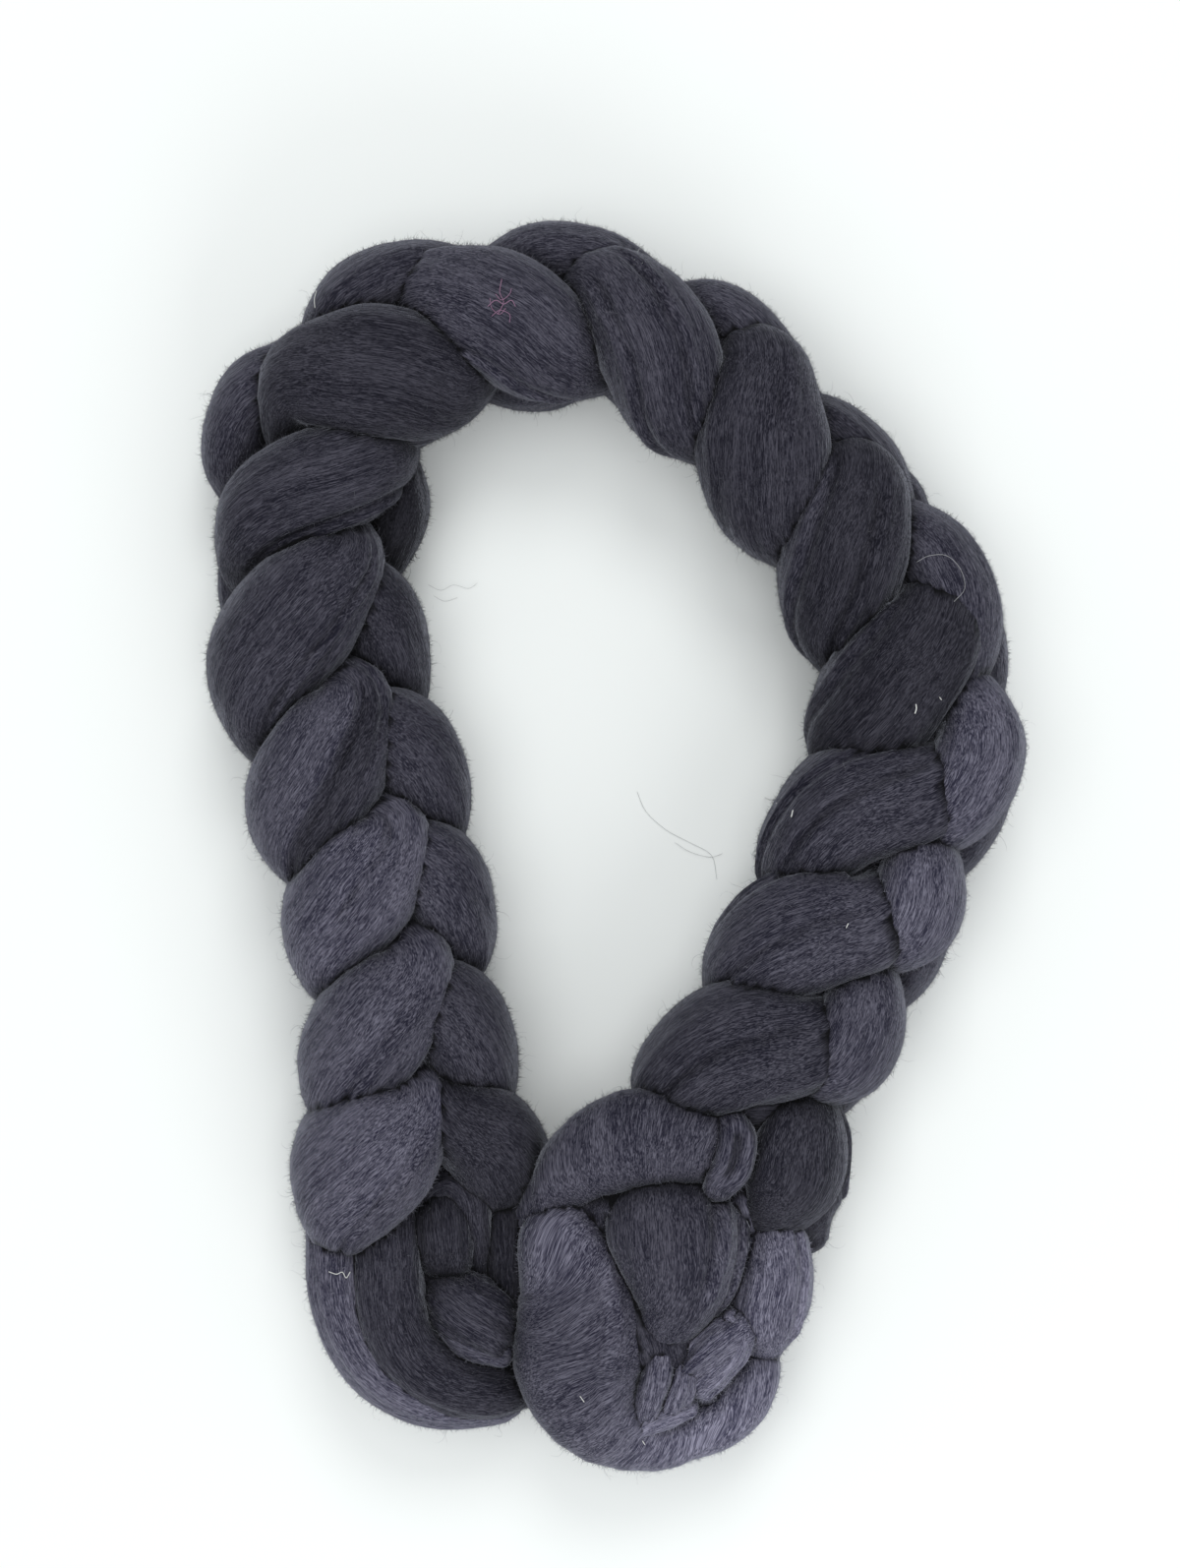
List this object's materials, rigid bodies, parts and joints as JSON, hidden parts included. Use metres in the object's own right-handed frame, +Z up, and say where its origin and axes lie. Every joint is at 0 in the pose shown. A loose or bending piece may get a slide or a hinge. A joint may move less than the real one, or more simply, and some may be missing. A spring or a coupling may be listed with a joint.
{
  "type": "braid of wool roving",
  "caption": "Charcoal combed wool roving plaited into a thick soft chain and laid flat in a pear-shaped loop with its ends touching at the foot.",
  "frame": {"origin": "on the surface the braid lies on, under the middle of the loop's outline", "axes": "+Z up from that surface, +Y from the two touching ends towards the crown of the loop, +X to the right seen from above"},
  "size_m": [0.2166, 0.3312, 0.0568],
  "materials": {
    "charcoal_wool": "matt combed wool with a soft fuzz"
  },
  "bodies": {
    "root": {"roving_braid": "charcoal_wool"}
  },
  "joints": []
}
